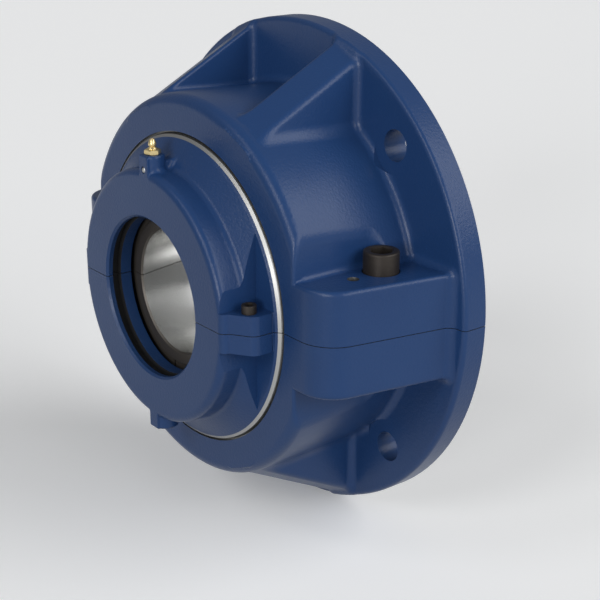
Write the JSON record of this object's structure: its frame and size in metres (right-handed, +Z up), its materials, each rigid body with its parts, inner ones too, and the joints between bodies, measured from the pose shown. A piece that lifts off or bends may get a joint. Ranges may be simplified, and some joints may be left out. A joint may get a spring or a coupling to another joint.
{
  "type": "split roller bearing",
  "caption": "Split roller bearing in a blue two-part flanged housing, with a swivelling cartridge, a split inner race clamped on the shaft, bolted joints and a grease nipple.",
  "frame": {"origin": "bearing centre on the shaft axis, in the joint plane of both castings", "axes": "+Y along the shaft from the nose to the flange's back face, +Z up to the grease nipple"},
  "size_m": [0.364, 0.147, 0.364],
  "materials": {
    "blue_paint": "satin machinery paint on cast iron",
    "black_steel": "blackened steel",
    "race_steel": "ground bearing steel",
    "bright_steel": "polished steel",
    "brass": "plain brass"
  },
  "bodies": {
    "housing": {"housing_upper": "blue_paint", "housing_lower": "blue_paint", "housing_screws": "black_steel", "housing_dowels": "bright_steel"},
    "cartridge": {"cartridge_upper": "blue_paint", "cartridge_lower": "blue_paint", "cartridge_screws": "black_steel", "cartridge_dowels": "bright_steel", "grease_nipple": "brass", "passage_ball": "bright_steel", "outer_race_upper": "race_steel", "outer_race_lower": "race_steel"},
    "inner_race": {"inner_race_upper": "race_steel", "inner_race_lower": "race_steel", "clamp_ring_front_left": "black_steel", "clamp_ring_front_right": "black_steel", "clamp_ring_rear_left": "black_steel", "clamp_ring_rear_right": "black_steel", "clamp_screws": "black_steel"},
    "cage": {"cage_upper": "brass", "cage_lower": "brass", "cage_clips": "bright_steel"},
    "roller_01": {"roller_01": "bright_steel"},
    "roller_02": {"roller_02": "bright_steel"},
    "roller_03": {"roller_03": "bright_steel"},
    "roller_04": {"roller_04": "bright_steel"},
    "roller_05": {"roller_05": "bright_steel"},
    "roller_06": {"roller_06": "bright_steel"},
    "roller_07": {"roller_07": "bright_steel"},
    "roller_08": {"roller_08": "bright_steel"},
    "roller_09": {"roller_09": "bright_steel"},
    "roller_10": {"roller_10": "bright_steel"},
    "roller_11": {"roller_11": "bright_steel"},
    "roller_12": {"roller_12": "bright_steel"},
    "roller_13": {"roller_13": "bright_steel"},
    "roller_14": {"roller_14": "bright_steel"}
  },
  "joints": [
    {"name": "cartridge_swivel", "type": "hinge", "parent": "housing", "child": "cartridge", "pos_m": [0, 0, 0], "axis": [1, 0, 0], "range_deg": [-2.5, 2.5]},
    {"name": "race_spin", "type": "hinge", "parent": "cartridge", "child": "inner_race", "pos_m": [0, 0, 0], "axis": [0, 1, 0], "continuous": true},
    {"name": "cage_orbit", "type": "hinge", "parent": "cartridge", "child": "cage", "pos_m": [0, 0, 0], "axis": [0, 1, 0], "continuous": true},
    {"name": "roller_01_spin", "type": "hinge", "parent": "cage", "child": "roller_01", "pos_m": [0.06584, 0, 0.01503], "axis": [0, 1, 0], "continuous": true},
    {"name": "roller_02_spin", "type": "hinge", "parent": "cage", "child": "roller_02", "pos_m": [0.0528, 0, 0.0421], "axis": [0, 1, 0], "continuous": true},
    {"name": "roller_03_spin", "type": "hinge", "parent": "cage", "child": "roller_03", "pos_m": [0.0293, 0, 0.06084], "axis": [0, 1, 0], "continuous": true},
    {"name": "roller_04_spin", "type": "hinge", "parent": "cage", "child": "roller_04", "pos_m": [0, 0, 0.06753], "axis": [0, 1, 0], "continuous": true},
    {"name": "roller_05_spin", "type": "hinge", "parent": "cage", "child": "roller_05", "pos_m": [-0.0293, 0, 0.06084], "axis": [0, 1, 0], "continuous": true},
    {"name": "roller_06_spin", "type": "hinge", "parent": "cage", "child": "roller_06", "pos_m": [-0.0528, 0, 0.0421], "axis": [0, 1, 0], "continuous": true},
    {"name": "roller_07_spin", "type": "hinge", "parent": "cage", "child": "roller_07", "pos_m": [-0.06584, 0, 0.01503], "axis": [0, 1, 0], "continuous": true},
    {"name": "roller_08_spin", "type": "hinge", "parent": "cage", "child": "roller_08", "pos_m": [-0.06584, 0, -0.01503], "axis": [0, 1, 0], "continuous": true},
    {"name": "roller_09_spin", "type": "hinge", "parent": "cage", "child": "roller_09", "pos_m": [-0.0528, 0, -0.0421], "axis": [0, 1, 0], "continuous": true},
    {"name": "roller_10_spin", "type": "hinge", "parent": "cage", "child": "roller_10", "pos_m": [-0.0293, 0, -0.06084], "axis": [0, 1, 0], "continuous": true},
    {"name": "roller_11_spin", "type": "hinge", "parent": "cage", "child": "roller_11", "pos_m": [0, 0, -0.06753], "axis": [0, 1, 0], "continuous": true},
    {"name": "roller_12_spin", "type": "hinge", "parent": "cage", "child": "roller_12", "pos_m": [0.0293, 0, -0.06084], "axis": [0, 1, 0], "continuous": true},
    {"name": "roller_13_spin", "type": "hinge", "parent": "cage", "child": "roller_13", "pos_m": [0.0528, 0, -0.0421], "axis": [0, 1, 0], "continuous": true},
    {"name": "roller_14_spin", "type": "hinge", "parent": "cage", "child": "roller_14", "pos_m": [0.06584, 0, -0.01503], "axis": [0, 1, 0], "continuous": true}
  ],
  "couplings": [
    {"joint": "cage_orbit", "follows": "race_spin", "ratio": 0.44055},
    {"joint": "roller_01_spin", "follows": "race_spin", "ratio": -4.1609},
    {"joint": "roller_02_spin", "follows": "race_spin", "ratio": -4.1609},
    {"joint": "roller_03_spin", "follows": "race_spin", "ratio": -4.1609},
    {"joint": "roller_04_spin", "follows": "race_spin", "ratio": -4.1609},
    {"joint": "roller_05_spin", "follows": "race_spin", "ratio": -4.1609},
    {"joint": "roller_06_spin", "follows": "race_spin", "ratio": -4.1609},
    {"joint": "roller_07_spin", "follows": "race_spin", "ratio": -4.1609},
    {"joint": "roller_08_spin", "follows": "race_spin", "ratio": -4.1609},
    {"joint": "roller_09_spin", "follows": "race_spin", "ratio": -4.1609},
    {"joint": "roller_10_spin", "follows": "race_spin", "ratio": -4.1609},
    {"joint": "roller_11_spin", "follows": "race_spin", "ratio": -4.1609},
    {"joint": "roller_12_spin", "follows": "race_spin", "ratio": -4.1609},
    {"joint": "roller_13_spin", "follows": "race_spin", "ratio": -4.1609},
    {"joint": "roller_14_spin", "follows": "race_spin", "ratio": -4.1609}
  ]
}
